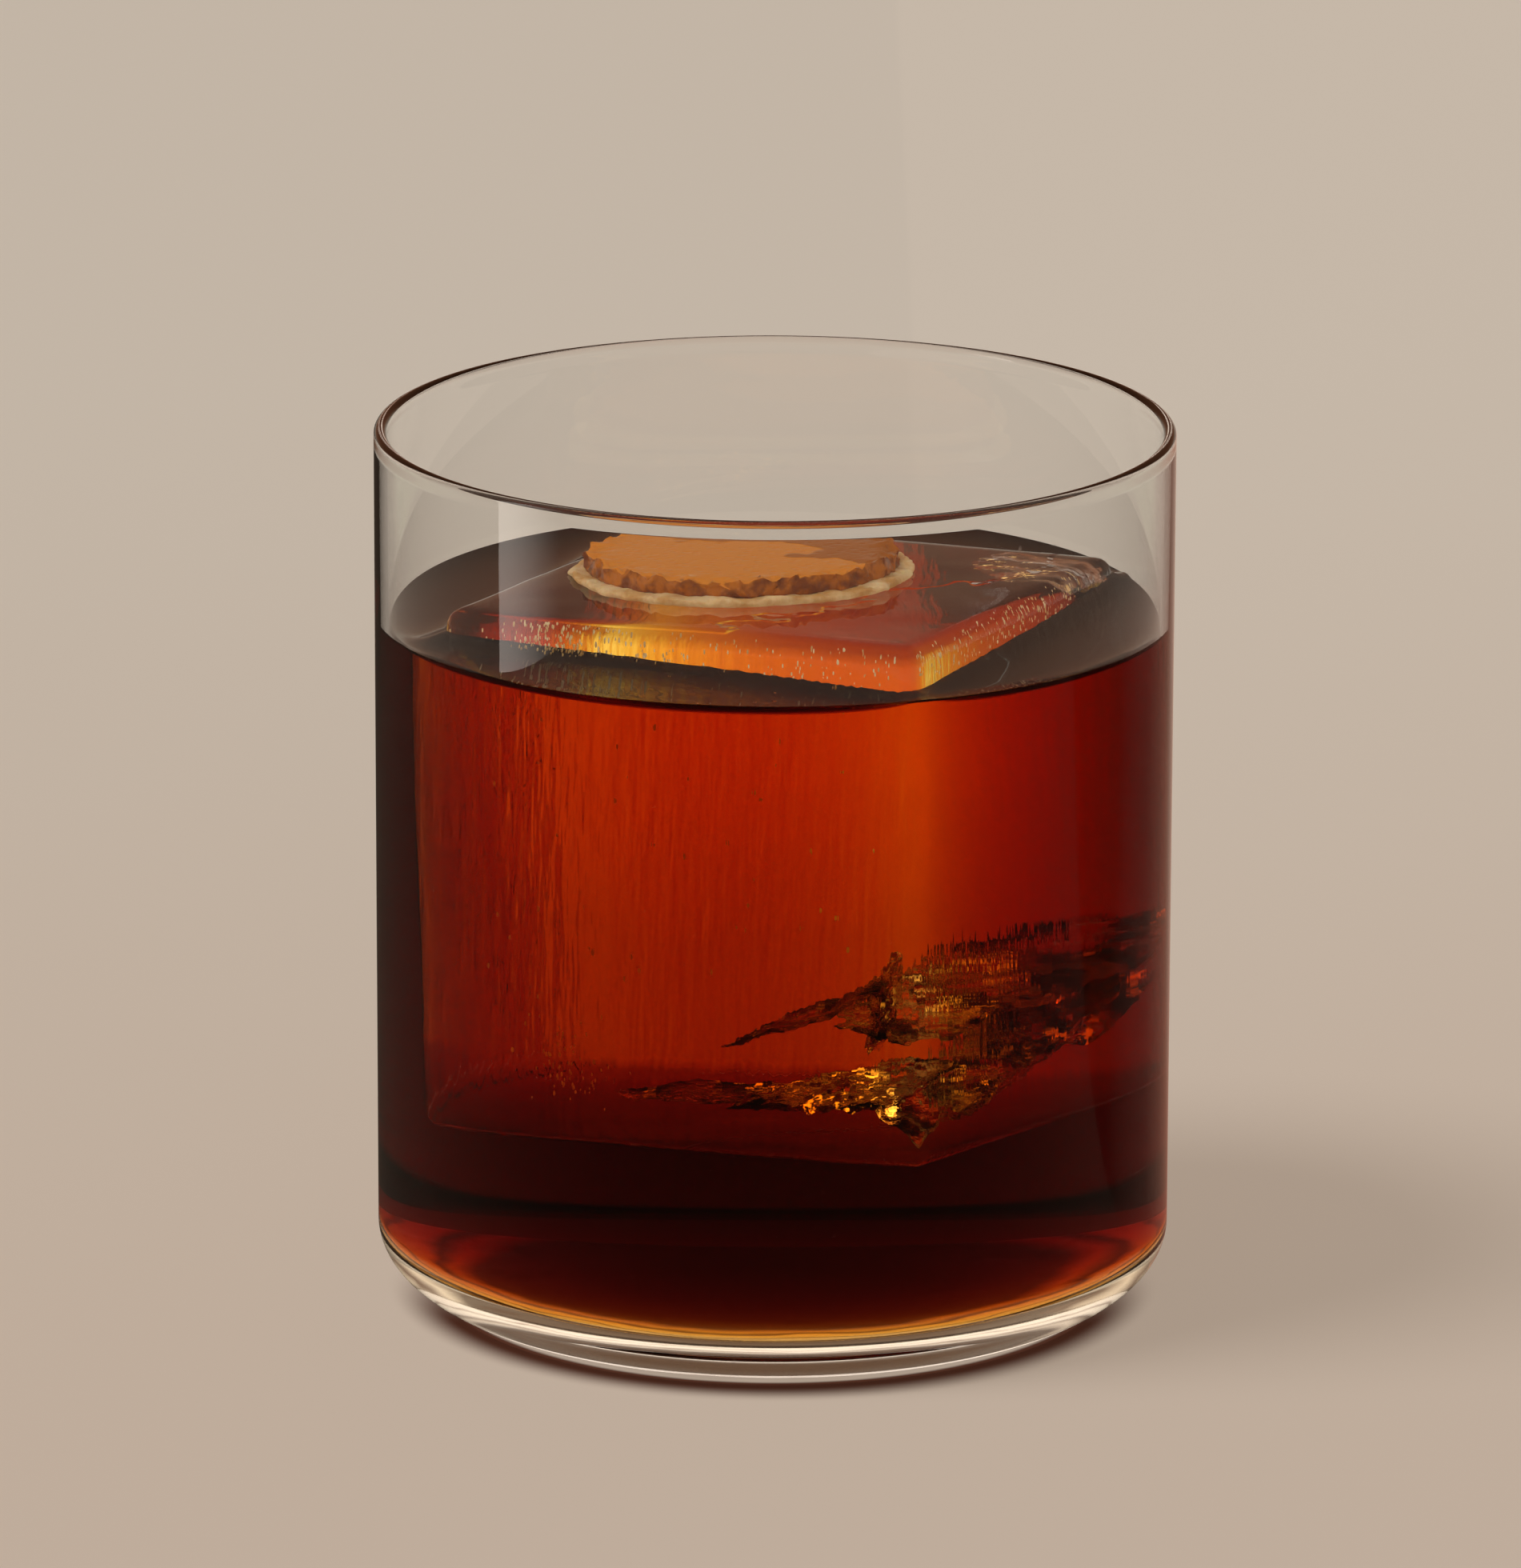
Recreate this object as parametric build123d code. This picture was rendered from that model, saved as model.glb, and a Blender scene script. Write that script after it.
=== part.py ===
"""A short bitter-orange drink, served on one block of clear ice with a coin of citrus peel.

Four separate solids, in millimetres: the tumbler, the drink that fills its well, the ice
block that floats in the drink, and the peel coin that lies on the ice. The origin is the
centre of the tumbler's foot, +Z is up and -Y is the front.
"""
from build123d import *
import math
import os

# Tumbler: a thin, straight-sided glass with a heavier base and a fire-polished lip
glass_diameter = 85.0       # outside, over the straight wall
glass_height = 94.9         # foot to the top of the lip
wall = 1.2                  # straight wall
base_thickness = 5.0        # foot to the floor of the well, on the axis
foot_corner_reach = 11.3    # outer bottom corner, measured in from the wall
foot_corner_rise = 7.6      # outer bottom corner, measured up from the foot
well_corner_reach = 9.5     # inner bottom corner, measured in from the inner wall
well_corner_rise = 5.6      # inner bottom corner, measured up from the well's floor
lip_bead = 0.2              # the lip is this much thicker than the wall, on the inside
lip_bead_depth = 2.2        # the thickening runs out this far below the lip

# Drink
fill_drop = 21.5            # flat surface of the drink below the lip

# Ice block: a hand-cut cuboid, afloat, with melted edges and one split-off lower corner
ice_wall_clearance = 1.6    # its far corner to the wall, if it drifted straight out
ice_floor_clearance = 17.1  # under its middle, to the floor of the well
ice_side_difference = 2.0   # how much wider its front face is than its right face
ice_proud = 3.7             # centre of its top face above the drink
ice_offset_x = 1.1          # centre of its top face from the glass's axis
ice_offset_y = 1.0
ice_turn = -25.6            # degrees about the vertical
ice_pitch = -3.3            # degrees about X: the back rides lower than the front
ice_roll = -0.9             # degrees about Y: the right rides a little higher
ice_edge_radius = 1.6       # melted edges
ice_chip_reach = 15.0       # split corner: how far it runs in along the front and right faces
ice_chip_rise = 9.0         # and up the vertical edge

# Peel coin: a round of thick citrus peel, rind up
peel_diameter = 33.5
peel_thickness = 2.7        # at the middle
peel_crown = 0.7            # how much the rind's dome rises above its edge
peel_offset_x = -3.4        # centre of the coin from the glass's axis
peel_offset_y = 5.8
peel_wobble = 0.3           # how far the cut edge strays from a true circle
peel_wobble_lobes = (3, 5, 8)   # uneven knife strokes round the edge
peel_outline_points = 24

glass_radius = glass_diameter / 2
well_radius = glass_radius - wall
fill_level = glass_height - fill_drop

# The block's plan is the largest rectangle that the well and its clearance leave room for
ice_diagonal = 2 * (well_radius - ice_wall_clearance - math.hypot(ice_offset_x, ice_offset_y))
ice_depth = (math.sqrt(2 * ice_diagonal**2 - ice_side_difference**2) - ice_side_difference) / 2
ice_width = ice_depth + ice_side_difference
ice_height = fill_level + ice_proud - base_thickness - ice_floor_clearance


def well_floor_curve():
    """Half outline of the well: from its centre out along the floor and up into the wall."""
    flat_end = well_radius - well_corner_reach
    floor = Line((0, base_thickness), (flat_end, base_thickness))
    corner = EllipticalCenterArc(
        (flat_end, base_thickness + well_corner_rise),
        well_corner_reach,
        well_corner_rise,
        start_angle=270,
        arc_size=90,
    )
    return floor, corner


def make_tumbler():
    """The glass: one turned profile, foot, wall and rounded lip."""
    foot_end = glass_radius - foot_corner_reach
    foot_top = (glass_radius, foot_corner_rise)
    lip_radius = (wall + lip_bead) / 2
    lip_base = glass_height - lip_radius
    bead_start = glass_height - lip_bead_depth
    foot = Line((0, 0), (foot_end, 0))
    foot_corner = EllipticalCenterArc(
        (foot_end, foot_corner_rise),
        foot_corner_reach,
        foot_corner_rise,
        start_angle=270,
        arc_size=90,
    )
    outer_wall = Line(foot_top, (glass_radius, lip_base))
    lip = ThreePointArc(
        (glass_radius, lip_base),
        (glass_radius - lip_radius, glass_height),
        (glass_radius - 2 * lip_radius, lip_base),
    )
    bead = Spline(
        (glass_radius - 2 * lip_radius, lip_base),
        (well_radius, bead_start),
        tangents=[(0, -1), (0, -1)],
    )
    floor, well_corner = well_floor_curve()
    inner_wall = Line((well_radius, bead_start), (well_radius, base_thickness + well_corner_rise))
    axis = Line((0, base_thickness), (0, 0))
    outline = [foot, foot_corner, outer_wall, lip, bead, inner_wall, well_corner, floor, axis]
    return revolve(Plane.XZ * make_face(Wire(outline).edges()), Axis.Z)


def make_well_filling(level):
    """Everything inside the glass from the floor of the well up to a level."""
    floor, corner = well_floor_curve()
    side = Line((well_radius, base_thickness + well_corner_rise), (well_radius, level))
    surface = Line((well_radius, level), (0, level))
    axis = Line((0, level), (0, base_thickness))
    outline = [floor, corner, side, surface, axis]
    return revolve(Plane.XZ * make_face(Wire(outline).edges()), Axis.Z)


def ice_frame():
    """Place of the ice block: its top face is the local XY plane."""
    seat = Pos(ice_offset_x, ice_offset_y, fill_level + ice_proud)
    return seat * Rot(ice_pitch, ice_roll, 0) * Rot(0, 0, ice_turn)


def make_ice_block():
    """The cuboid with softened edges and a split-off corner at its lower front right."""
    block = Pos(0, 0, -ice_height / 2) * Box(ice_width, ice_depth, ice_height)
    block = fillet(block.edges(), ice_edge_radius)
    corner = Vector(ice_width / 2, -ice_depth / 2, -ice_height)
    on_front = corner - Vector(ice_chip_reach, 0, 0)
    on_right = corner + Vector(0, ice_chip_reach, 0)
    on_edge = corner + Vector(0, 0, ice_chip_rise)
    chip_normal = (on_right - on_front).cross(on_edge - on_front)
    block = split(block, Plane(origin=on_edge, z_dir=chip_normal), keep=Keep.BOTH)
    halves = block.solids()
    return ice_frame() * max(halves, key=lambda half: half.volume)


def peel_frame():
    """Place of the coin: flat on the ice's top face, at its own point of the glass's plan."""
    ice = ice_frame()
    top_face = Plane(ice)
    normal = top_face.z_dir
    rise = (
        normal.X * (peel_offset_x - top_face.origin.X)
        + normal.Y * (peel_offset_y - top_face.origin.Y)
    )
    height = top_face.origin.Z - rise / normal.Z
    seat = Plane(origin=(peel_offset_x, peel_offset_y, height), z_dir=normal)
    return seat.location


def peel_edge_radius(angle):
    """Distance from the coin's centre to its cut edge in one direction, in radians."""
    stray = sum(math.sin(lobes * angle + lobes) for lobes in peel_wobble_lobes)
    return peel_diameter / 2 + peel_wobble * stray / len(peel_wobble_lobes)


def make_peel_coin():
    """A round of peel with an uneven cut edge and a low domed rind."""
    steps = range(peel_outline_points)
    angles = [2 * math.pi * step / peel_outline_points for step in steps]
    edge = [(peel_edge_radius(a) * math.cos(a), peel_edge_radius(a) * math.sin(a)) for a in angles]
    disc = extrude(make_face(Spline(*edge, periodic=True)), amount=peel_thickness)
    half = peel_diameter / 2
    dome_radius = (half**2 + peel_crown**2) / (2 * peel_crown)
    dome = Pos(0, 0, peel_thickness - dome_radius) * Sphere(dome_radius)
    return peel_frame() * (disc & dome)


tumbler = make_tumbler()
ice_block = make_ice_block()
peel_coin = make_peel_coin()
drink = make_well_filling(fill_level) - ice_block

os.makedirs("parts", exist_ok=True)
nodes = {
    "tumbler": tumbler,
    "drink": drink,
    "ice_block": ice_block,
    "peel_coin": peel_coin,
}
for name, shape in nodes.items():
    export_step(shape, f"parts/{name}.step")
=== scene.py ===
"""Looks of a short bitter-orange drink: tumbler, drink, clear ice block and peel coin.

Lengths in the dataclass fields are millimetres; meshes are made in metres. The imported
model gives the glass's outside, its well and the fill level, and every piece is built
around those.
"""
from __future__ import annotations

import logging
import math
import random
from dataclasses import dataclass
from enum import Enum, IntEnum

import bmesh
import bpy
from mathutils import Euler, Matrix, Vector, noise

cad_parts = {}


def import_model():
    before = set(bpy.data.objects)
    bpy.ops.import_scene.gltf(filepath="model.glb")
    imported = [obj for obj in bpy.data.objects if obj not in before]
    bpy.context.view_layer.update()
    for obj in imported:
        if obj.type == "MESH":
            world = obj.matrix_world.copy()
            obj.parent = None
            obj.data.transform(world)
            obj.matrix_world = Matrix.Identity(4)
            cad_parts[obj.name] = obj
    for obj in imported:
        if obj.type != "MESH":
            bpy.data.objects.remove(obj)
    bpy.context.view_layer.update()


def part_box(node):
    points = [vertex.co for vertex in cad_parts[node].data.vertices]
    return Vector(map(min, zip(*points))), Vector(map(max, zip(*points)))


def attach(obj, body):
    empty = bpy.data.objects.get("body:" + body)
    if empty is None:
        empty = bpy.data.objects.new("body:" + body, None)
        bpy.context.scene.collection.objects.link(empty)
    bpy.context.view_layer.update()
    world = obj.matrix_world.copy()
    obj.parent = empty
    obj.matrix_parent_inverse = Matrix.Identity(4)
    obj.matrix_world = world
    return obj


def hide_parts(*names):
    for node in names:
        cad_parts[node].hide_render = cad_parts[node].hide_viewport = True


MM = 0.001
Colour = tuple[float, float, float, float]
Socket = bpy.types.NodeSocket
Form = bmesh.types.BMesh
BODY = "root"
LOG = logging.getLogger("negroni")


# ---------------------------------------------------------------- node and mesh helpers


class NodeSheet:
    """One material's node tree, with short calls for the nodes that finishes use."""

    def __init__(self, name: str) -> None:
        """Start an empty tree with its output.

        Args:
            name: name of the new material.
        """
        self.material = bpy.data.materials.new(name)
        self.material.use_nodes = True
        self.tree = self.material.node_tree
        self.tree.nodes.clear()
        self.output = self.tree.nodes.new("ShaderNodeOutputMaterial")
        where = self.tree.nodes.new("ShaderNodeTexCoord")
        self.place = where.outputs["Object"]
        self.facing = where.outputs["Normal"]

    def add(self, kind: str, **values: object) -> bpy.types.Node:
        """Add a node and set its properties or sockets.

        Args:
            kind: the node's type, without its ShaderNode prefix.
            **values: properties, or input sockets with underscores for spaces.

        Returns:
            The new node.
        """
        node = self.tree.nodes.new("ShaderNode" + kind)
        for key, value in values.items():
            if hasattr(node, key):
                setattr(node, key, value)
            else:
                self.feed(node.inputs[key.replace("_", " ")], value)
        return node

    def feed(self, socket: Socket, value: object) -> None:
        """Set a socket to a constant, or link another socket to it.

        Args:
            socket: the input to set.
            value: a constant or an output socket.
        """
        if isinstance(value, Socket):
            self.tree.links.new(value, socket)
        else:
            socket.default_value = value

    def axis(self, name: str, of: Socket | None = None) -> Socket:
        """X, Y or Z of a vector socket, or of the object's own place."""
        return self.add("SeparateXYZ", Vector=of or self.place).outputs[name]

    def reach(self) -> Socket:
        """Distance from the origin, in metres."""
        return self.add("VectorMath", operation="LENGTH", Vector=self.place).outputs["Value"]

    def wavering_reach(self, span: float) -> Socket:
        """Distance from the origin as a share of a span, straying a little, for rings."""
        stray = self.spread(self.grain(70.0, 2.0), 0.3, 0.7, -0.0012, 0.0012)
        return self.maths("MULTIPLY", self.maths("ADD", self.reach(), stray), 1.0 / span)

    def stretched(self, scale: tuple[float, float, float], turn: float = 0.0) -> Socket:
        """Object coordinates, turned about Z and stretched.

        Args:
            scale: how many times finer the pattern is along each axis.
            turn: turn about Z in degrees.

        Returns:
            The mapped coordinate socket.
        """
        mapping = self.add("Mapping", Vector=self.place)
        mapping.inputs["Rotation"].default_value = (0.0, 0.0, math.radians(-turn))
        mapping.inputs["Scale"].default_value = scale
        return mapping.outputs["Vector"]

    def grain(self, scale: float, detail: float = 3.0, rough: float = 0.5,
              where: Socket | None = None) -> Socket:
        """Fractal noise.

        Args:
            scale: cells in each metre.
            detail: octaves.
            rough: weight of the finer octaves.
            where: coordinate socket; the object's own place if left out.

        Returns:
            The noise value socket.
        """
        node = self.add("TexNoise", Scale=scale, Detail=detail, Roughness=rough,
                        Vector=where or self.place)
        return node.outputs["Fac"]

    def spread(self, value: Socket, low: float, high: float,
               out_low: float = 0.0, out_high: float = 1.0) -> Socket:
        """Map a value from one range to another, clamped and smooth.

        Args:
            value: what is mapped.
            low: input that gives out_low.
            high: input that gives out_high.
            out_low: first output.
            out_high: last output.

        Returns:
            The mapped value socket.
        """
        node = self.add("MapRange", interpolation_type="SMOOTHSTEP", Value=value)
        node.inputs["From Min"].default_value = low
        node.inputs["From Max"].default_value = high
        node.inputs["To Min"].default_value = out_low
        node.inputs["To Max"].default_value = out_high
        return node.outputs["Result"]

    def blend(self, share: Socket, first: object, second: object) -> Socket:
        """Mix two colours by a share.

        Args:
            share: 0 gives the first colour, 1 the second.
            first: colour or socket.
            second: colour or socket.

        Returns:
            The mixed colour socket.
        """
        node = self.add("Mix", data_type="RGBA")
        self.feed(node.inputs[0], share)
        self.feed(node.inputs[6], first)
        self.feed(node.inputs[7], second)
        return node.outputs[2]

    def maths(self, operation: str, first: object, second: object) -> Socket:
        """One arithmetic step.

        Args:
            operation: the Math node's operation.
            first: value or socket.
            second: value or socket.

        Returns:
            The result's socket.
        """
        node = self.add("Math", operation=operation)
        self.feed(node.inputs[0], first)
        self.feed(node.inputs[1], second)
        return node.outputs[0]

    def ramp(self, value: Socket,
             stops: list[tuple[float, tuple[float, float, float]]]) -> Socket:
        """Colour ramp.

        Args:
            value: what picks the colour, from 0 to 1.
            stops: places on the ramp and their colours, in order.

        Returns:
            The colour socket.
        """
        node = self.add("ValToRGB", Fac=value)
        scale = node.color_ramp.elements
        while len(scale) < len(stops):
            scale.new(1.0)
        for element, (position, colour) in zip(scale, stops):
            element.position = position
            element.color = (*colour, 1.0)
        return node.outputs["Color"]

    def relief(self, height: Socket, depth: float, strength: float = 1.0,
               base: Socket | None = None) -> Socket:
        """Bump from a height between 0 and 1.

        Args:
            height: the height socket.
            depth: how deep a height of 1 is, in metres.
            strength: share of the bump that shows.
            base: normal socket to build on.

        Returns:
            The normal socket.
        """
        node = self.add("Bump", Height=height, Distance=depth, Strength=strength)
        if base is not None:
            self.feed(node.inputs["Normal"], base)
        return node.outputs["Normal"]

    def shine(self, colour: object, strength: object = 1.0) -> None:
        """Finish the tree with an Emission shader."""
        light = self.add("Emission", Color=colour, Strength=strength)
        self.tree.links.new(light.outputs[0], self.output.inputs["Surface"])

    def surface(self, **sockets: object) -> bpy.types.Node:
        """Finish the tree with a Principled shader.

        Args:
            **sockets: the shader's inputs, with underscores for spaces.

        Returns:
            The shader node.
        """
        shader = self.add("BsdfPrincipled", **sockets)
        self.tree.links.new(shader.outputs[0], self.output.inputs["Surface"])
        return shader


def piece_from(form: Form, name: str, materials: list[bpy.types.Material],
               crease: float = 40.0) -> bpy.types.Object:
    """Turn a bmesh into an object at the origin, smooth-shaded with sharp creases.

    Args:
        form: the mesh, in metres, already in place; it is freed.
        name: name of the new object.
        materials: its material slots, in order.
        crease: edges that bend more than this many degrees stay sharp.

    Returns:
        The new object.
    """
    mesh = bpy.data.meshes.new(name)
    form.to_mesh(mesh)
    form.free()
    mesh.polygons.foreach_set("use_smooth", [True] * len(mesh.polygons))
    mesh.set_sharp_from_angle(angle=math.radians(crease))
    for material in materials:
        mesh.materials.append(material)
    piece = bpy.data.objects.new(name, mesh)
    bpy.context.scene.collection.objects.link(piece)
    return piece


def turned(outline: list[Vector], steps: int) -> Form:
    """Spin an outline in the XZ plane once round Z.

    Args:
        outline: points of the outline, in metres, in order.
        steps: how many steps the full turn takes.

    Returns:
        The closed surface, its faces pointing outwards.
    """
    form = bmesh.new()
    points = [form.verts.new(point) for point in outline]
    edges = [form.edges.new(pair) for pair in zip(points, points[1:])]
    bmesh.ops.spin(form, geom=points + edges, axis=(0, 0, 1), cent=(0, 0, 0),
                   angle=2 * math.pi, steps=steps, use_merge=True)
    bmesh.ops.remove_doubles(form, verts=form.verts[:], dist=1e-7)
    bmesh.ops.recalc_face_normals(form, faces=form.faces[:])
    return form


def quarter(centre: tuple[float, float], reach: float, rise: float, first: float,
            steps: int) -> list[Vector]:
    """Quarter of an ellipse in the XZ plane, counter-clockwise.

    Args:
        centre: centre's X and Z, in millimetres.
        reach: half width in millimetres.
        rise: half height in millimetres.
        first: angle of the first point in degrees.
        steps: number of segments.

    Returns:
        The points, in metres.
    """
    points = []
    for step in range(steps + 1):
        angle = math.radians(first + 90.0 * step / steps)
        points.append(Vector((centre[0] + reach * math.cos(angle), 0.0,
                              centre[1] + rise * math.sin(angle))) * MM)
    return points


def at(x: float, z: float) -> Vector:
    """A point of an outline in the XZ plane, from millimetres."""
    return Vector((x, 0.0, z)) * MM


# ---------------------------------------------------------------- finishes


class Side(Enum):
    """What a clear face meets: the air, or another clear thing that hides its mirror gleam."""

    DRY = ("dry", (1.0, 1.0, 1.0, 1.0))
    WET = ("wetted", (0.0, 0.0, 0.0, 1.0))

    @property
    def label(self) -> str:
        """Word for names."""
        return self.value[0]

    @property
    def mirror(self) -> Colour:
        """Tint of the face's reflection."""
        return self.value[1]


class Sparkle(Enum):
    """How much light the facets of a split give off."""

    FAINT = 0.9
    GOLD = 3.0


class IceSlot(IntEnum):
    """Material slots of the ice block."""

    DRY = 0
    WET = 1
    SPLIT = 2
    GOLD_SPLIT = 3
    BUBBLE = 4


class GlassSlot(IntEnum):
    """Material slots of the tumbler."""

    DRY = 0
    WET = 1
    FOOT = 2


@dataclass(frozen=True)
class ClearGlassFinish:
    """Thin clear soda-lime glass with faint handling marks and a slow waviness."""

    index: float = 1.5
    tint: Colour = (0.985, 0.992, 0.985, 1.0)

    def make(self, side: Side) -> bpy.types.Material:
        """Build the material.

        Args:
            side: what the face meets.

        Returns:
            The material.
        """
        sheet = NodeSheet("clear_glass_" + side.label)
        marks = sheet.spread(sheet.grain(900.0, 2.0), 0.70, 0.78, 0.0, 0.12)
        wave = sheet.grain(35.0, 1.0)
        normal = sheet.relief(wave, 0.00002, 0.5)
        sheet.surface(Base_Color=self.tint, Roughness=marks, IOR=self.index,
                      Transmission_Weight=1.0, Specular_Tint=side.mirror, Normal=normal)
        return sheet.material


@dataclass(frozen=True)
class GroundFootFinish:
    """The flat foot, matt, its middle painted darker as shade. Its rings give off light, in place of
    what a clear base gathers.
    """

    light: Colour = (0.56, 0.51, 0.47, 1.0)
    dark: Colour = (0.40, 0.30, 0.25, 1.0)
    middle: Colour = (0.30, 0.20, 0.13, 1.0)
    span: float = 0.04
    glow: float = 1.0

    def make(self) -> bpy.types.Material:
        """Build the material.

        Returns:
            The material.
        """
        sheet = NodeSheet("ground_foot")
        patches = sheet.spread(sheet.grain(120.0, 3.0), 0.45, 0.75)
        colour = sheet.blend(patches, self.light, self.dark)
        share = sheet.wavering_reach(self.span)
        # Painted shade: the foot turns darker towards its middle.
        colour = sheet.blend(sheet.spread(share, 0.2, 0.68), self.middle, colour)
        glow = sheet.ramp(share, [(0.0, (0.02, 0.004, 0.002)), (0.57, (0.03, 0.008, 0.004)),
                                  (0.63, (0.80, 0.66, 0.54)), (0.67, (0.06, 0.01, 0.005)),
                                  (0.695, (1.0, 0.84, 0.70)), (0.742, (1.0, 0.86, 0.72)),
                                  (0.752, (0.10, 0.02, 0.01)), (0.765, (1.0, 0.84, 0.70))])
        sheet.surface(Base_Color=colour, Roughness=0.6, IOR=1.5, Emission_Color=glow,
                      Emission_Strength=self.glow)
        return sheet.material


@dataclass(frozen=True)
class DrinkFinish:
    """Clear red-orange liquid that darkens with depth."""

    index: float = 1.35
    reach: float = 560.0
    passed: Colour = (0.905, 0.655, 0.0, 1.0)
    sheen: Colour = (1.0, 0.55, 0.32, 1.0)

    def make(self, side: Side) -> bpy.types.Material:
        """Build the material: a clear surface round an absorbing volume.

        Args:
            side: what the face meets.

        Returns:
            The material.
        """
        sheet = NodeSheet("red_drink_" + side.label)
        normal = sheet.relief(sheet.grain(60.0, 1.0), 0.00002, 0.3)
        mirror = tuple(part * warmth for part, warmth in zip(side.mirror, self.sheen))
        sheet.surface(Base_Color=(1.0, 1.0, 1.0, 1.0), Roughness=0.0, IOR=self.index,
                      Transmission_Weight=1.0, Specular_Tint=mirror, Normal=normal)
        depth = sheet.add("VolumeAbsorption", Color=self.passed, Density=self.reach)
        sheet.tree.links.new(depth.outputs[0], sheet.output.inputs["Volume"])
        return sheet.material


@dataclass(frozen=True)
class ClearIceFinish:
    """Wet clear ice with melted ripples."""

    turn: float
    index: float = 1.31
    film_edge: float = -0.0185
    film_waver: float = 0.007

    def make(self, side: Side) -> bpy.types.Material:
        """Build the material.

        Args:
            side: what the face meets.

        Returns:
            The material.
        """
        sheet = NodeSheet("clear_ice_" + side.label)
        upright = sheet.stretched((1.0, 1.0, 0.12), self.turn)
        facing = sheet.axis("Z", sheet.facing)
        sides = sheet.spread(facing, 0.5, 0.8, 1.0, 0.0)
        streaks = sheet.maths("MULTIPLY", sheet.grain(700.0, 2.0, 0.6, upright), sides)
        ripples = sheet.grain(90.0, 2.0)
        across = sheet.maths("SUBTRACT", sheet.axis("Y"), sheet.axis("X"))
        waver = sheet.spread(sheet.grain(110.0, 3.0), 0.2, 0.8, -self.film_waver, self.film_waver)
        film = sheet.spread(sheet.maths("ADD", across, waver), self.film_edge - 0.0005,
                            self.film_edge + 0.0009)
        normal = sheet.relief(streaks, 0.0003, 0.7)
        normal = sheet.relief(ripples, 0.0002, 0.4, normal)
        film = sheet.maths("MULTIPLY", film, sheet.spread(facing, 0.85, 0.95))
        normal = sheet.relief(film, 0.0004, 0.8, normal)
        sheet.surface(Base_Color=(0.99, 0.995, 1.0, 1.0), Roughness=0.0, IOR=self.index,
                      Transmission_Weight=1.0, Specular_Tint=side.mirror, Normal=normal)
        return sheet.material


@dataclass(frozen=True)
class SplitIceFinish:
    """Faces of the splits in the ice: rippled, painted dark in patches as shade, with facets that give
    off light as painted glints.
    """

    index: float = 1.31
    gleam: Colour = (1.0, 0.62, 0.20, 1.0)
    clear: Colour = (1.0, 0.9, 0.8, 1.0)
    painted_dark: Colour = (0.06, 0.02, 0.012, 1.0)

    def make(self, sparkle: Sparkle) -> bpy.types.Material:
        """Build the material.

        Args:
            sparkle: how strongly the facets gleam.

        Returns:
            The material.
        """
        sheet = NodeSheet("split_ice_" + sparkle.name.lower())
        normal = sheet.relief(sheet.grain(1400.0, 3.0, 0.6), 0.0003, 0.5)
        # Painted glints: facets in broad patches give off light.
        facets = sheet.spread(sheet.grain(480.0, 3.0, 0.7), 0.57, 0.66)
        broad = sheet.spread(sheet.grain(110.0, 1.0), 0.48, 0.6)
        caught = sheet.maths("MULTIPLY", sheet.maths("MULTIPLY", facets, broad), sparkle.value)
        # Painted shade: dark patches tint the light that passes the splits.
        painted_dark_share = sheet.spread(sheet.grain(230.0, 4.0, 0.7), 0.46, 0.57)
        colour = sheet.blend(painted_dark_share, self.clear, self.painted_dark)
        sheet.surface(Base_Color=colour, Roughness=0.04, IOR=self.index,
                      Transmission_Weight=1.0, Emission_Color=self.gleam, Emission_Strength=caught,
                      Normal=normal)
        return sheet.material


@dataclass(frozen=True)
class BubbleFinish:
    """Tiny bubbles, drawn as opaque pale-gold specks: painted highlights in place of the light that
    clear air bubbles catch, paler and darker in random patches.
    """

    light: Colour = (0.95, 0.76, 0.44, 1.0)
    dark: Colour = (0.70, 0.45, 0.18, 1.0)

    def make(self) -> bpy.types.Material:
        """Build the material.

        Returns:
            The material.
        """
        sheet = NodeSheet("ice_bubbles")
        # Painted highlight: pale gold and darker gold in random patches.
        patches = sheet.spread(sheet.grain(900.0, 1.0), 0.4, 0.6)
        colour = sheet.blend(patches, self.light, self.dark)
        sheet.surface(Base_Color=colour, Roughness=0.2, IOR=1.31)
        return sheet.material


@dataclass(frozen=True)
class RindFinish:
    """Waxy, pored citrus rind: paler on top with painted shade over the top's back right part, dark
    amber at its cut edge.
    """

    top: Colour = (0.82, 0.27, 0.018, 1.0)
    shade: Colour = (0.44, 0.12, 0.003, 1.0)
    light: Colour = (0.56, 0.16, 0.003, 1.0)
    dark: Colour = (0.22, 0.045, 0.001, 1.0)

    def make(self) -> bpy.types.Material:
        """Build the material.

        Returns:
            The material.
        """
        sheet = NodeSheet("citrus_rind")
        patches = sheet.spread(sheet.grain(420.0, 3.0, 0.6), 0.38, 0.62)
        edge = sheet.blend(patches, self.dark, self.light)
        # Painted shade: past a wavering line across the top, the back right part takes the darker shade
        # colour; the share named wet here is that painted shade, and it also lifts a small ridge along
        # its edge.
        corner = sheet.maths("ADD", sheet.axis("X"), sheet.axis("Y"))
        waver = sheet.spread(sheet.grain(130.0, 2.0), 0.3, 0.7, -0.006, 0.006)
        wet = sheet.spread(sheet.maths("ADD", corner, waver), 0.0045, 0.0065)
        top = sheet.blend(wet, self.top, self.shade)
        facing = sheet.axis("Z", sheet.facing)
        colour = sheet.blend(sheet.spread(facing, 0.80, 0.95), edge, top)
        pores = sheet.add("TexVoronoi", Scale=900.0, Vector=sheet.place).outputs["Distance"]
        normal = sheet.relief(sheet.spread(pores, 0.1, 0.5), 0.0002, 0.4)
        normal = sheet.relief(wet, 0.0003, 0.6, normal)
        sheet.surface(Base_Color=colour, Roughness=0.3, IOR=1.4, Coat_Weight=0.2,
                      Coat_Roughness=0.06, Subsurface_Weight=0.2,
                      Subsurface_Radius=(0.003, 0.0012, 0.0004), Normal=normal)
        return sheet.material


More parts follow.
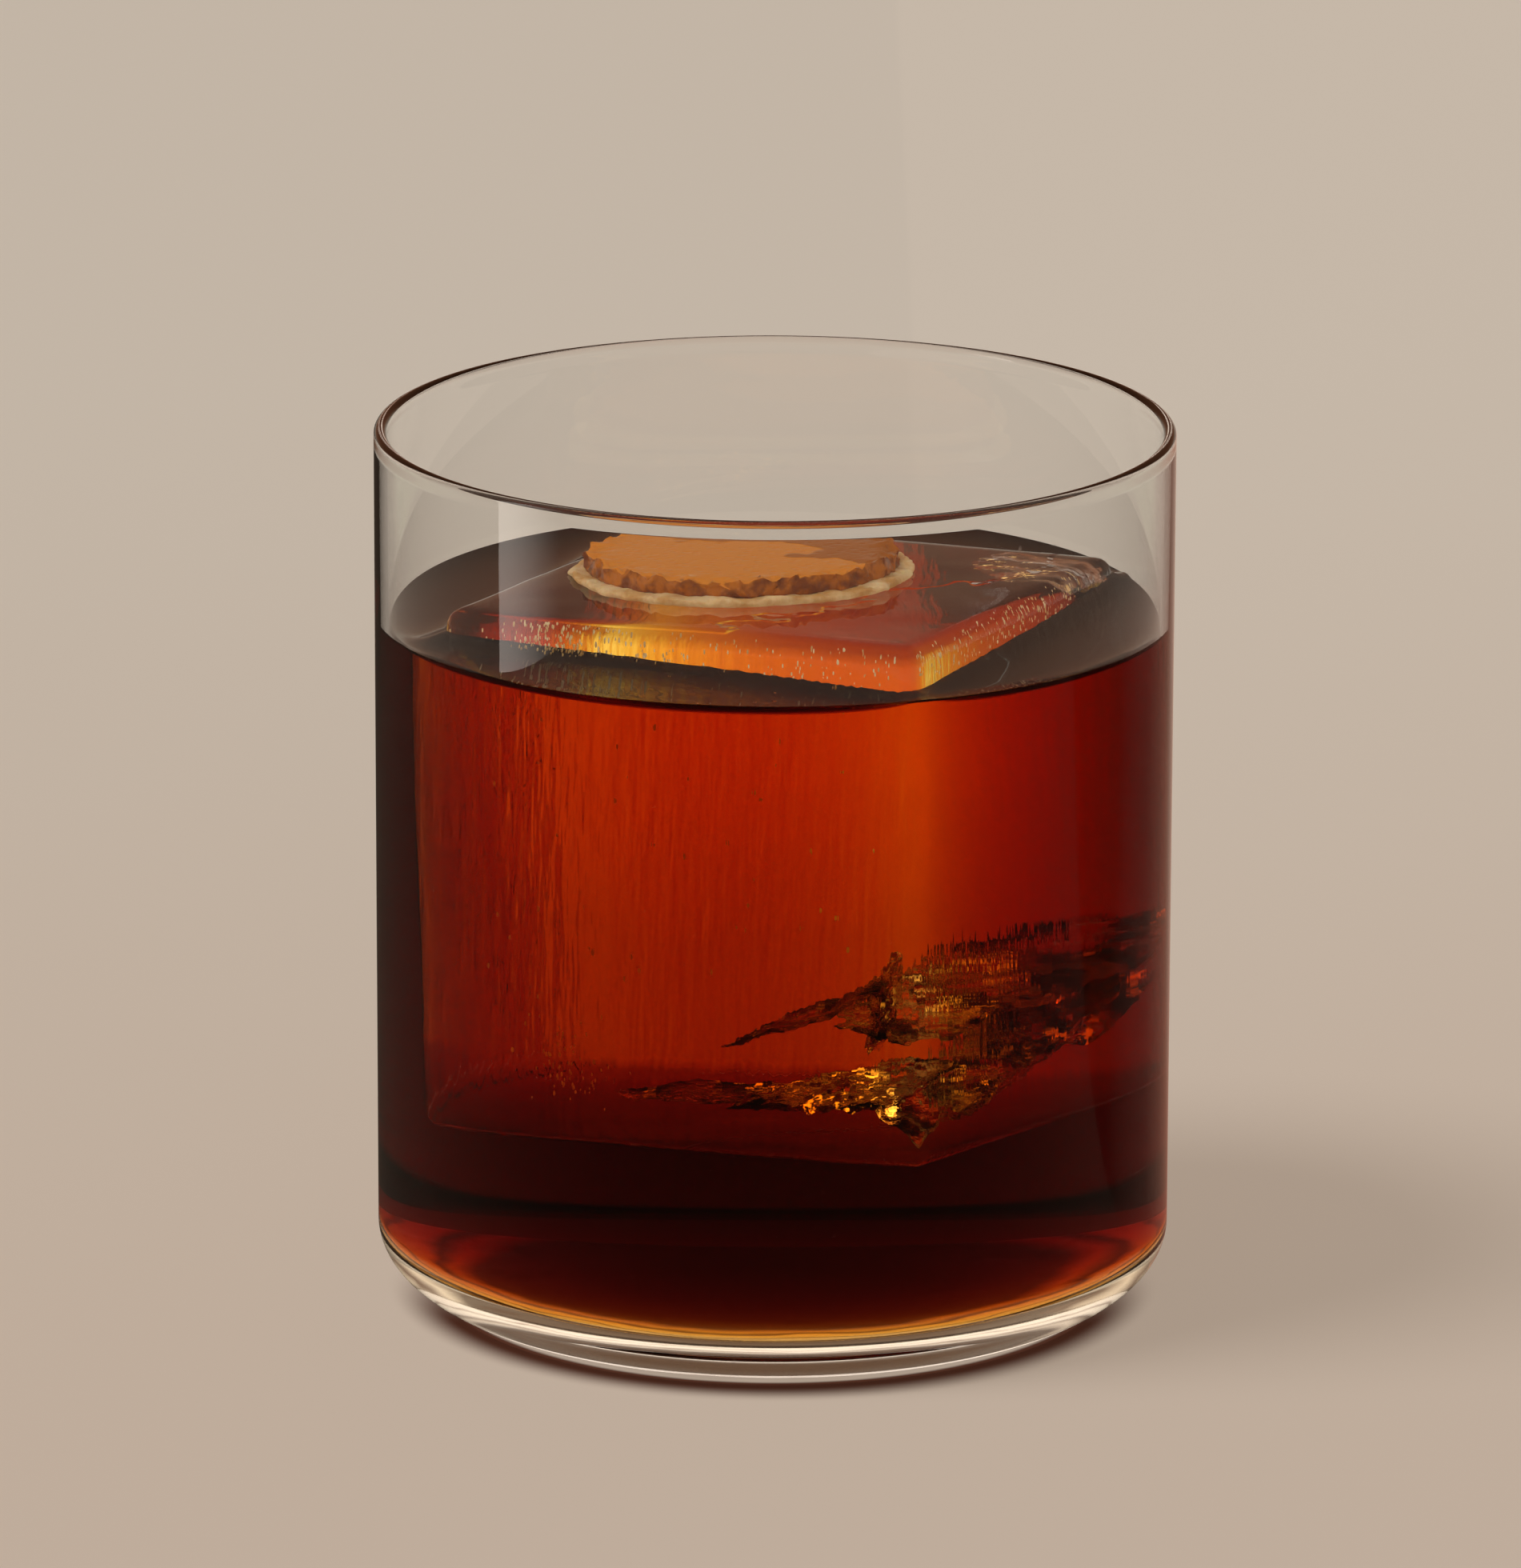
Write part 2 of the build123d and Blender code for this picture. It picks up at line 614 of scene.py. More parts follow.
@dataclass(frozen=True)
class PithFinish:
    """Pale spongy pith."""

    light: Colour = (0.86, 0.62, 0.32, 1.0)
    dark: Colour = (0.62, 0.30, 0.07, 1.0)

    def make(self) -> bpy.types.Material:
        """Build the material.

        Returns:
            The material.
        """
        sheet = NodeSheet("citrus_pith")
        patches = sheet.spread(sheet.grain(260.0, 4.0, 0.65), 0.35, 0.7)
        colour = sheet.blend(patches, self.light, self.dark)
        normal = sheet.relief(sheet.grain(1500.0, 3.0), 0.0003, 0.5)
        sheet.surface(Base_Color=colour, Roughness=0.5, Subsurface_Weight=0.5,
                      Subsurface_Radius=(0.004, 0.002, 0.0008), Normal=normal)
        return sheet.material


@dataclass(frozen=True)
class PaperFinish:
    """Matt beige paper, painted a little darker towards the front, with a reddish contact shadow painted
    round the glass's foot on its front side.
    """

    near: Colour = (0.765, 0.655, 0.565, 1.0)
    far: Colour = (0.80, 0.735, 0.655, 1.0)
    # The painted contact shadow: its colour, the radii where it is full and where it has faded, the
    # front-to-back span where it fades out, and the foot's radius inside which it stops.
    contact_shadow: Colour = (0.10, 0.03, 0.015, 1.0)
    contact_core: float = 0.0370
    contact_end: float = 0.0418
    contact_front: float = -0.016
    contact_back: float = 0.008
    foot: float = 0.035

    def make(self) -> bpy.types.Material:
        """Build the material.

        Returns:
            The material.
        """
        sheet = NodeSheet("beige_paper")
        # Painted shade: the paper is a little darker towards the front and lighter towards the back.
        patches = sheet.spread(sheet.grain(6.0, 3.0), 0.3, 0.7, -0.02, 0.02)
        away = sheet.spread(sheet.maths("ADD", sheet.axis("Y"), patches), -0.10, 0.45)
        colour = sheet.blend(away, self.near, self.far)
        # Painted contact shadow: a reddish dark ring just outside the foot, strongest in front and gone
        # behind the glass.
        reach = sheet.reach()
        painted_shadow = sheet.spread(reach, self.contact_core, self.contact_end, 1.0, 0.0)
        front = sheet.spread(sheet.axis("Y"), self.contact_front, self.contact_back, 1.0, 0.0)
        outside = sheet.spread(reach, self.foot, self.foot + 0.0008)
        painted_shadow = sheet.maths("MULTIPLY", sheet.maths("MULTIPLY", painted_shadow, front), outside)
        colour = sheet.blend(painted_shadow, colour, self.contact_shadow)
        sheet.surface(Base_Color=colour, Roughness=0.9, Specular_IOR_Level=0.1)
        return sheet.material


@dataclass(frozen=True)
class CardFinish:
    """Evenly lit card, a little uneven as paper is."""

    name: str
    colour: tuple[float, float, float]
    power: float

    def make(self) -> bpy.types.Material:
        """Build the material.

        Returns:
            The material.
        """
        sheet = NodeSheet(self.name)
        uneven = sheet.spread(sheet.grain(12.0, 2.0), 0.3, 0.7, 0.95, 1.05)
        strength = sheet.maths("MULTIPLY", uneven, self.power)
        sheet.shine((*self.colour, 1.0), strength)
        return sheet.material


@dataclass(frozen=True)
class FadingCardFinish:
    """Bright card that fades towards the camera's side."""

    colour: tuple[float, float, float] = (1.0, 0.90, 0.82)
    power: float = 3.0
    bright_from: float = -0.06
    gone_by: float = -0.20

    def make(self) -> bpy.types.Material:
        """Build the material.

        Returns:
            The material.
        """
        sheet = NodeSheet("left_card")
        strength = sheet.spread(sheet.axis("Y"), self.gone_by, self.bright_from, 0.0, self.power)
        sheet.shine((*self.colour, 1.0), strength)
        return sheet.material


@dataclass(frozen=True)
class GlowFinish:
    """Light that lies on the paper behind the glass, unevenly.

    Only rays that have crossed many faces meet it: it shows through the drink, not through
    the empty part of the glass.
    """

    colour: tuple[float, float, float] = (1.0, 1.05, 0.70)
    power: float = 1.7
    span: float = 0.3
    fewest_faces: float = 4.5

    def make(self) -> bpy.types.Material:
        """Build the material.

        Returns:
            The material.
        """
        sheet = NodeSheet("glow_card")
        away = sheet.maths("MULTIPLY", sheet.axis("Y"), 1.0 / self.span)
        along = sheet.ramp(away, [(0.14, (0.55,) * 3), (0.28, (0.5,) * 3), (0.36, (0.56,) * 3),
                                  (0.5, (0.62,) * 3), (0.75, (0.95,) * 3), (0.95, (1.0,) * 3)])
        aside = sheet.maths("ABSOLUTE", sheet.axis("X"), 0.0)
        across = sheet.spread(aside, 0.005, 0.12, 1.0, 0.5)
        strength = sheet.maths("MULTIPLY", sheet.maths("MULTIPLY", along, across), self.power)
        light = sheet.add("Emission", Color=(*self.colour, 1.0), Strength=strength)
        clear = sheet.add("BsdfTransparent")
        depth = sheet.add("LightPath").outputs["Transmission Depth"]
        lit = sheet.maths("GREATER_THAN", depth, self.fewest_faces)
        both = sheet.add("MixShader", Fac=lit)
        sheet.tree.links.new(clear.outputs[0], both.inputs[1])
        sheet.tree.links.new(light.outputs[0], both.inputs[2])
        sheet.tree.links.new(both.outputs[0], sheet.output.inputs["Surface"])
        return sheet.material


@dataclass(frozen=True)
class EdgeGleamFinish:
    """Paper behind the glass as its right edge mirrors it: bright straight back, dim aside."""

    back: float = 0.05

    def make(self) -> bpy.types.Material:
        """Build the material.

        Returns:
            The material.
        """
        sheet = NodeSheet("edge_gleam")
        far = sheet.maths("ADD", sheet.axis("Y"), self.back)
        share = sheet.maths("MULTIPLY", sheet.maths("DIVIDE", sheet.axis("X"), far), 0.5)
        colour = sheet.ramp(share, [(0.07, (0.62, 0.44, 0.34)), (0.26, (0.34, 0.15, 0.10)),
                                    (0.5, (0.13, 0.05, 0.035)), (0.9, (0.0, 0.0, 0.0))])
        sheet.shine(colour)
        return sheet.material


@dataclass(frozen=True)
class FootGlowFinish:
    """Light that gathers in the thick clear base, broken by thin dark rings."""

    span: float = 0.04

    def make(self) -> bpy.types.Material:
        """Build the material.

        Returns:
            The material.
        """
        sheet = NodeSheet("foot_glow")
        share = sheet.wavering_reach(self.span)
        colour = sheet.ramp(share, [(0.0, (0.16, 0.06, 0.03)), (0.55, (0.26, 0.10, 0.05)),
                                    (0.66, (1.0, 0.82, 0.66)), (0.72, (0.20, 0.04, 0.02)),
                                    (0.75, (1.1, 0.92, 0.76)), (0.81, (1.2, 1.0, 0.84)),
                                    (0.83, (0.20, 0.06, 0.03)), (0.85, (1.3, 1.1, 0.92))])
        sheet.shine(colour)
        return sheet.material


@dataclass(frozen=True)
class RoomFinish:
    """The room that gleams mirror: lit low down, brown above that, dark overhead and below."""

    def make(self) -> bpy.types.Material:
        """Build the material.

        Returns:
            The material.
        """
        sheet = NodeSheet("room")
        toward = sheet.add("VectorMath", operation="NORMALIZE")
        sheet.feed(toward.inputs[0], sheet.place)
        height = sheet.spread(sheet.axis("Z", toward.outputs["Vector"]), -1.0, 1.0)
        height.node.interpolation_type = "LINEAR"
        colour = sheet.ramp(height, [(0.48, (0.05, 0.034, 0.024)), (0.50, (0.54, 0.46, 0.37)),
                                     (0.55, (0.33, 0.16, 0.09)), (0.615, (0.24, 0.09, 0.045)),
                                     (0.70, (0.22, 0.085, 0.04)), (0.80, (0.20, 0.075, 0.035))])
        sheet.shine(colour)
        return sheet.material


# ---------------------------------------------------------------- pieces


@dataclass
class Tumbler:
    """The thin straight-sided glass. Lengths in millimetres."""

    radius: float
    height: float
    well_radius: float
    well_floor: float
    wet_line: float
    foot_corner_reach: float = 11.3
    foot_corner_rise: float = 7.6
    well_corner_reach: float = 6.5
    well_corner_rise: float = 3.8
    lip_bead: float = 0.2
    lip_bead_depth: float = 2.2
    foot_line: float = 0.05
    steps: int = 320

    def outline(self) -> list[Vector]:
        """Outer and inner outline, from the foot's centre round the lip to the well's centre.

        Returns:
            The points, in metres.
        """
        foot_end = self.radius - self.foot_corner_reach
        lip = (self.radius - self.well_radius + self.lip_bead) / 2
        lip_base = self.height - lip
        points = [at(0, 0), at(foot_end * 0.5, 0)]
        points += quarter((foot_end, self.foot_corner_rise), self.foot_corner_reach,
                          self.foot_corner_rise, -90.0, 28)
        points += [at(self.radius, self.height * 0.5)]
        points += quarter((self.radius - lip, lip_base), lip, lip, 0.0, 10)
        points += quarter((self.radius - lip, lip_base), lip, lip, 90.0, 10)[1:]
        bead_run = self.lip_bead_depth - lip
        for step in range(1, 13):
            share = step / 12
            ease = share * share * (3 - 2 * share)
            points.append(at(self.radius - 2 * lip + self.lip_bead * ease, lip_base - bead_run * share))
        flat_end = self.well_radius - self.well_corner_reach
        corner = quarter((flat_end, self.well_floor + self.well_corner_rise), self.well_corner_reach,
                         self.well_corner_rise, -90.0, 24)
        points += [at(self.well_radius, self.wet_line), at(self.well_radius, self.height * 0.5)]
        points += corner[::-1]
        points += [at(flat_end * 0.5, self.well_floor), at(0, self.well_floor)]
        return points

    def make(self) -> bpy.types.Object:
        """Spin the glass and dress it.

        Returns:
            The glass.
        """
        form = turned(self.outline(), self.steps)
        for face in form.faces:
            place = face.calc_center_median() / MM
            inside = place.xy.length < self.well_radius + 0.1 and place.z > self.well_floor - 0.1
            wet = inside and place.z < self.wet_line
            face.material_index = GlassSlot.WET if wet else GlassSlot.DRY
            if place.z < self.foot_line:
                face.material_index = GlassSlot.FOOT
        finish = ClearGlassFinish()
        finishes = [finish.make(Side.DRY), finish.make(Side.WET), GroundFootFinish().make()]
        return piece_from(form, "tumbler_glass", finishes, 60.0)


@dataclass(frozen=True)
class Pocket:
    """One thin crumpled split in the ice, full of air. Lengths in millimetres, in the block's frame."""

    centre: tuple[float, float, float]
    along: tuple[float, float, float]
    inward: tuple[float, float, float]
    gap: float
    crumple: float
    seed: float
    fineness: int = 5
    slot: IceSlot = IceSlot.SPLIT

    def stray(self, u: float, v: float) -> float:
        """How far the split strays from its plane.

        Args:
            u: place along it, from -1 to 1.
            v: place inward, from -1 to 1.

        Returns:
            The distance in millimetres.
        """
        place = Vector((u * Vector(self.along).length, v * Vector(self.inward).length, self.seed))
        broad = noise.noise(place * 0.12)
        middle = noise.noise(place * 0.35 + Vector((0, 0, 7)))
        fine = noise.noise(place * 1.1 + Vector((0, 0, 13)))
        return self.crumple * (broad * 1.1 + middle * 0.55 + fine * 0.22)

    def add_to(self, form: Form, low: Vector, high: Vector) -> None:
        """Add the split to the ice as a closed inner surface that faces the air.

        Args:
            form: the ice, in its own frame, in metres.
            low: lowest corner that it may reach, in millimetres.
            high: highest corner that it may reach.
        """
        made = bmesh.ops.create_icosphere(form, subdivisions=self.fineness, radius=1.0)["verts"]
        along = Vector(self.along)
        inward = Vector(self.inward)
        across = along.cross(inward).normalized()
        for vert in made:
            angle = math.atan2(vert.co.y, vert.co.x)
            heading = Vector((math.cos(angle), math.sin(angle), self.seed))
            ragged = 1.0 + 0.28 * noise.noise(heading * 2.2)
            ragged += 0.10 * noise.noise(heading * 9.0)
            u = vert.co.x * ragged
            v = vert.co.y * ragged
            swell = 1.0 + 0.8 * noise.noise(Vector((u * 9, v * 9, self.seed + 3)))
            lens = vert.co.z * self.gap * swell
            place = Vector(self.centre) + along * u + inward * v + across * (self.stray(u, v) + lens)
            vert.co = Vector(min(max(value, floor), roof)
                             for value, floor, roof in zip(place, low, high)) * MM
        faces = {face for vert in made for face in vert.link_faces}
        bmesh.ops.recalc_face_normals(form, faces=list(faces))
        bmesh.ops.reverse_faces(form, faces=list(faces))
        for face in faces:
            face.material_index = self.slot


@dataclass
class IceBlock:
    """The hand-cut clear block. Lengths in millimetres, turns in degrees."""

    glass: Tumbler
    level: float
    wall_clearance: float = 1.6
    floor_clearance: float = 17.1
    side_difference: float = 2.0
    proud: float = 3.7
    offset_x: float = 1.1
    offset_y: float = 1.0
    turn: float = -25.6
    pitch: float = -3.3
    roll: float = -0.9
    edge: float = 2.0
    wet_above: float = 0.9

    @property
    def depth(self) -> float:
        """Front face to back face: the largest that the well and its clearance allow."""
        reach = self.glass.well_radius - self.wall_clearance - math.hypot(self.offset_x, self.offset_y)
        return (math.sqrt(8 * reach**2 - self.side_difference**2) - self.side_difference) / 2

    @property
    def width(self) -> float:
        """Length of the front face."""
        return self.depth + self.side_difference

    @property
    def height(self) -> float:
        """Top face to bottom face."""
        return self.level + self.proud - self.glass.well_floor - self.floor_clearance

    def place(self) -> Matrix:
        """The block's own frame: its top face is the local XY plane.

        Returns:
            The frame.
        """
        seat = Matrix.Translation(Vector((self.offset_x, self.offset_y, self.level + self.proud)) * MM)
        tilt = Euler((math.radians(self.pitch), math.radians(self.roll), 0.0)).to_matrix().to_4x4()
        return seat @ tilt @ Matrix.Rotation(math.radians(self.turn), 4, "Z")

    def melt(self, point: Vector) -> Vector:
        """How far the melted surface strays.

        Args:
            point: a point of the block's surface, in metres.

        Returns:
            The shift in metres.
        """
        slow = noise.noise_vector(point * 45.0)
        fine = noise.noise_vector(point * 140.0 + Vector((3.1, 1.7, 5.2)))
        return slow * 0.35 * MM + fine * 0.10 * MM

    def pockets(self) -> list[Pocket]:
        """The splits near the lower front right edge, and frost at the right corner.

        Returns:
            The splits.
        """
        right = self.width / 2
        front = -self.depth / 2
        gold = IceSlot.GOLD_SPLIT
        back = -front
        return [
            Pocket((right - 7.0, 0.0, -39.2), (0.5, 25.0, 2.0), (-7.5, 0.5, 1.6), 0.6, 1.3, 2.0, 6),
            Pocket((right - 14.5, front + 4.5, -39.5), (8.5, 0.0, 3.4), (0.8, 4.0, 1.4), 0.35, 1.2,
                   11.0),
            Pocket((right - 6.0, front + 3.0, -38.0), (0.8, 2.0, 5.5), (-2.0, 1.4, 0.4), 0.35, 0.8,
                   23.0),
            Pocket((right - 11.0, front + 4.5, -47.5), (12.0, 0.5, 1.6), (0.5, 5.0, 1.8), 0.35, 1.4,
                   31.0, 6, gold),
            Pocket((right - 4.5, 0.0, -45.0), (-1.0, 16.0, 5.0), (-5.0, 0.5, 2.4), 0.4, 1.8, 43.0),
            Pocket((right - 3.5, front + 9.0, -48.5), (1.0, 9.0, 1.6), (-5.0, 1.0, 2.2), 0.35, 1.4, 57.0,
                   5, gold),
            Pocket((right - 3.0, 6.0, -43.5), (-0.5, 13.0, 2.0), (-2.5, 0.5, 3.2), 0.4, 1.6, 97.0),
            Pocket((right - 24.0, front + 4.0, -48.6), (9.0, 0.5, 0.6), (0.5, 3.0, 0.9), 0.3, 0.8, 83.0,
                   5, gold),
            Pocket((right - 6.0, back - 7.0, -2.4), (5.5, 5.0, 0.1), (-6.0, 6.5, -0.2), 0.2, 0.9, 71.0),
        ]

    def bubbles(self) -> list[tuple[Vector, float]]:
        """Small bubbles, most of them under the front faces.

        Returns:
            Centres and radii, in millimetres.
        """
        chance = random.Random(5)
        draw, around = chance.uniform, chance.gauss
        front = -self.depth / 2
        right = self.width / 2
        groups = (
            (160, 0.05, 0.13, lambda: (around(-14.0, 4.0), front + draw(0.4, 1.6), -draw(0.8, 4.4))),
            (150, 0.04, 0.10, lambda: (draw(-18, right - 2), front + draw(0.7, 2.4), -draw(1.0, 4.6))),
            (190, 0.04, 0.10, lambda: (right - draw(0.7, 2.2), draw(front + 2, 18), -draw(1.0, 3.6))),
            (70, 0.05, 0.11, lambda: (around(-11.0, 2.4), front + draw(0.6, 1.6), around(-46.0, 2.6))),
            (40, 0.05, 0.14, lambda: (draw(-22, 20), front + draw(0.8, 6.0), -draw(6.0, 38.0))),
        )
        spots = []
        for count, smallest, largest, where in groups:
            for _ in range(count):
                spots.append((Vector(where()), draw(smallest, largest)))
        return spots

    def form(self, inset: float = 0.0) -> Form:
        """The block as a mesh.

        Args:
            inset: how much smaller it is on every side, in millimetres.

        Returns:
            The block in place.
        """
        form = bmesh.new()
        bmesh.ops.create_cube(form, size=1.0)
        size = Vector((self.width, self.depth, self.height)) * MM
        bmesh.ops.scale(form, vec=size, verts=form.verts[:])
        bmesh.ops.bevel(form, geom=form.edges[:], offset=self.edge * MM, offset_type="OFFSET",
                        segments=5, profile=0.5, affect="EDGES", material=-1)
        long_edges = [edge for edge in form.edges if edge.calc_length() > 20 * MM]
        bmesh.ops.subdivide_edges(form, edges=long_edges, cuts=36, use_grid_fill=True)
        bmesh.ops.translate(form, vec=(0, 0, -self.height / 2 * MM), verts=form.verts[:])
        for vert in form.verts:
            vert.co += self.melt(vert.co)
        bmesh.ops.recalc_face_normals(form, faces=form.faces[:])
        form.normal_update()
        if inset:
            moved = [(vert, vert.co - vert.normal * inset * MM) for vert in form.verts]
            for vert, place in moved:
                vert.co = place
        return form

    def split(self, form: Form) -> None:
        """Add the air inside the block: crumpled splits and bubbles.

        Args:
            form: the block, in its own frame.
        """
        margin = Vector((1.0, 1.0, 1.0))
        low = Vector((-self.width / 2, -self.depth / 2, -self.height)) + margin
        high = Vector((self.width / 2, self.depth / 2, 0.0)) - margin
        for pocket in self.pockets():
            pocket.add_to(form, low, high)
        for centre, radius in self.bubbles():
            where = Matrix.Translation(centre * MM) @ Matrix.Diagonal((1.0, 1.0, 2.6, 1.0))
            made = bmesh.ops.create_icosphere(form, subdivisions=2, radius=radius * MM, matrix=where)
            faces = {face for vert in made["verts"] for face in vert.link_faces}
            bmesh.ops.reverse_faces(form, faces=list(faces))
            for face in faces:
                face.material_index = IceSlot.BUBBLE

    def outline_gap(self, x: float, y: float) -> float:
        """Distance in plan from a point to the block's side.

        Args:
            x: the point's X, in millimetres.
            y: the point's Y.

        Returns:
            The distance in millimetres, 0 inside.
        """
        local = self.place().inverted() @ (Vector((x, y, self.level)) * MM) / MM
        dx = abs(local.x) - self.width / 2
        dy = abs(local.y) - self.depth / 2
        return math.hypot(max(dx, 0.0), max(dy, 0.0))

    def make(self) -> bpy.types.Object:
        """Build the block and dress it.

        Returns:
            The block.
        """
        form = self.form()
        place = self.place()
        for face in form.faces:
            height = (place @ face.calc_center_median()).z
            wet = height < (self.level + self.wet_above) * MM
            face.material_index = IceSlot.WET if wet else IceSlot.DRY
        self.split(form)
        bmesh.ops.transform(form, matrix=place, verts=form.verts[:])
        finish = ClearIceFinish(self.turn)
        split = SplitIceFinish()
        finishes = [finish.make(Side.DRY), finish.make(Side.WET), split.make(Sparkle.FAINT),
                    split.make(Sparkle.GOLD), BubbleFinish().make()]
        return piece_from(form, "clear_ice_block", finishes, 50.0)


@dataclass
class Drink:
    """The liquid, from the well's floor to its surface. Lengths in millimetres."""

    glass: Tumbler
    ice: IceBlock
    level: float
    sunk: float = 0.12
    climb: float = 1.8
    climb_at_back: float = 0.3
    climb_on_ice: float = 1.5
    creep: float = 1.9
    meniscus: float = 6.0
    rings: int = 44
    steps: int = 256
    facing_up: float = 0.3
    ice_clearance: float = 0.1
    crease: float = 40.0

    def outline(self) -> list[Vector]:
        """From the floor's centre round the wall to the surface's centre.

        Returns:
            The points, in metres.
        """
        glass = self.glass
        flat_end = glass.well_radius - glass.well_corner_reach
        reach = glass.well_corner_reach + self.sunk
        rise = glass.well_corner_rise + self.sunk
        points = [at(0, glass.well_floor - self.sunk), at(flat_end * 0.5, glass.well_floor - self.sunk)]
        points += quarter((flat_end, glass.well_floor + glass.well_corner_rise), reach, rise, -90.0, 24)
        wall = glass.well_radius + self.sunk
        points.append(at(wall, self.level * 0.5))
        points.append(at(wall, self.level + self.climb + 0.05))
        far = self.meniscus
        gap = 0.0
        while gap < far:
            rise = self.climb * math.exp(-gap / self.creep)
            points.append(at(glass.well_radius - gap, self.level + rise
                             - self.climb * math.exp(-far / self.creep) * gap / far))
            gap += 0.12 + gap * 0.12
        start = glass.well_radius - far
        points += [at(start * (1 - ring / self.rings), self.level) for ring in range(self.rings + 1)]
        return points

    def make(self) -> bpy.types.Object:
        """Spin the liquid, raise it round the ice and cut the ice's hollow out of it.

        Returns:
            The liquid.
        """
        form = turned(self.outline(), self.steps)
        surface = (self.level - 0.5) * MM
        for vert in form.verts:
            front = 0.5 - vert.co.y / (2 * self.glass.well_radius * MM)
            share = self.climb_at_back + (1 - self.climb_at_back) * front
            if vert.co.z > self.level * MM:
                vert.co.z = (self.level + (vert.co.z / MM - self.level) * share) * MM
            if vert.co.z > surface and vert.co.xy.length < (self.glass.well_radius - 0.3) * MM:
                gap = self.ice.outline_gap(vert.co.x / MM, vert.co.y / MM)
                vert.co.z += self.climb_on_ice * math.exp(-gap / self.creep) * MM
        finish = DrinkFinish()
        piece = piece_from(form, "drink_liquid", [finish.make(Side.DRY), finish.make(Side.WET)],
                           self.crease)
        form = self.ice.form(self.ice_clearance)
        bmesh.ops.transform(form, matrix=self.ice.place(), verts=form.verts[:])
        hollow = piece_from(form, "ice_hollow", [], 50.0)
        cut = piece.modifiers.new("hollow", "BOOLEAN")
        cut.operation = "DIFFERENCE"
        cut.solver = "EXACT"
        cut.object = hollow
        apply_modifiers(piece)
        piece.data.polygons.foreach_set("use_smooth", [True] * len(piece.data.polygons))
        piece.data.set_sharp_from_angle(angle=math.radians(self.crease))
        bpy.data.objects.remove(hollow)
        for face in piece.data.polygons:
            open_air = (face.normal.z > self.facing_up and face.center.z > surface
                        and face.center.xy.length < self.glass.well_radius * MM)
            face.material_index = 0 if open_air else 1
        return piece


def apply_modifiers(piece: bpy.types.Object) -> None:
    """Replace a piece's mesh with what its modifiers make of it.

    Args:
        piece: the piece; its modifiers are cleared.
    """
    graph = bpy.context.evaluated_depsgraph_get()
    graph.update()
    made = bpy.data.meshes.new_from_object(piece.evaluated_get(graph))
    piece.modifiers.clear()
    old = piece.data
    piece.data = made
    made.name = piece.name
    bpy.data.meshes.remove(old)


